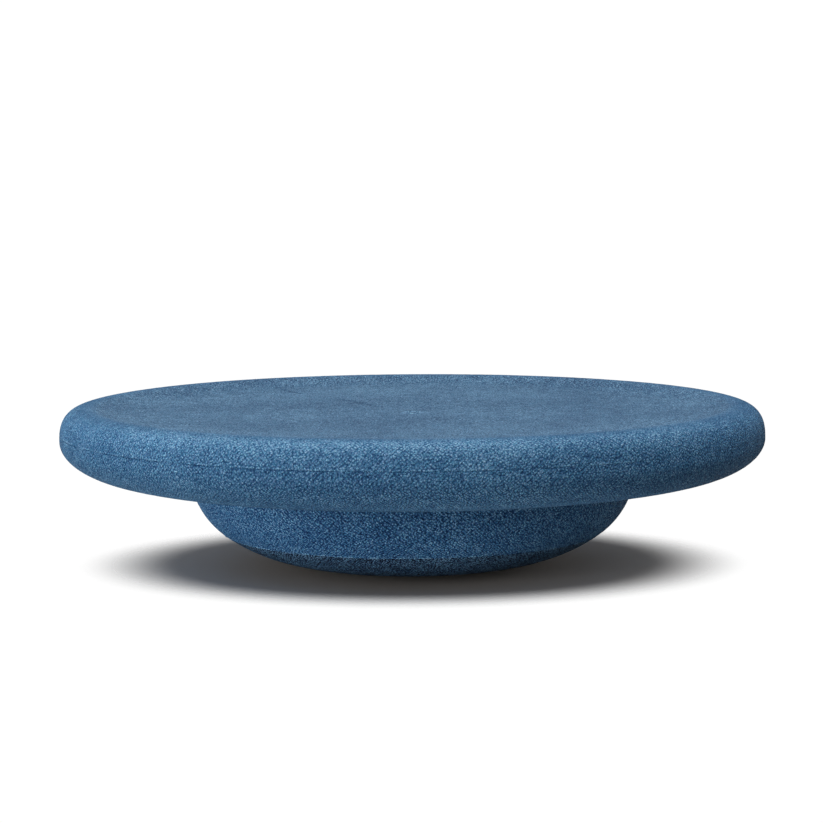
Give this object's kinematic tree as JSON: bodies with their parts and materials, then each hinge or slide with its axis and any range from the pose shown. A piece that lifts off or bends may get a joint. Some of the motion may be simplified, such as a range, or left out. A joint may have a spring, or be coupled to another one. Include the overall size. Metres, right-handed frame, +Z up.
{
  "type": "balance board",
  "caption": "Round balance board: a dished deck with a rolled rim on a bowl-shaped foam base that rocks and spins on the floor.",
  "frame": {"origin": "centre of the flat foot under the base, on the floor that the board stands on", "axes": "+Z up along the board's axis, from the foot to the standing surface; the board is round, so +X and +Y are any two level directions at right angles"},
  "size_m": [0.3699, 0.37, 0.0865],
  "materials": {
    "deck_foam": "matte",
    "cap_foam": "matte",
    "core_foam": "matte"
  },
  "bodies": {
    "root": {"deck_top": "deck_foam", "deck_underside": "deck_foam", "base_wall": "deck_foam", "base_cap": "cap_foam", "core_block": "core_foam"}
  },
  "joints": []
}
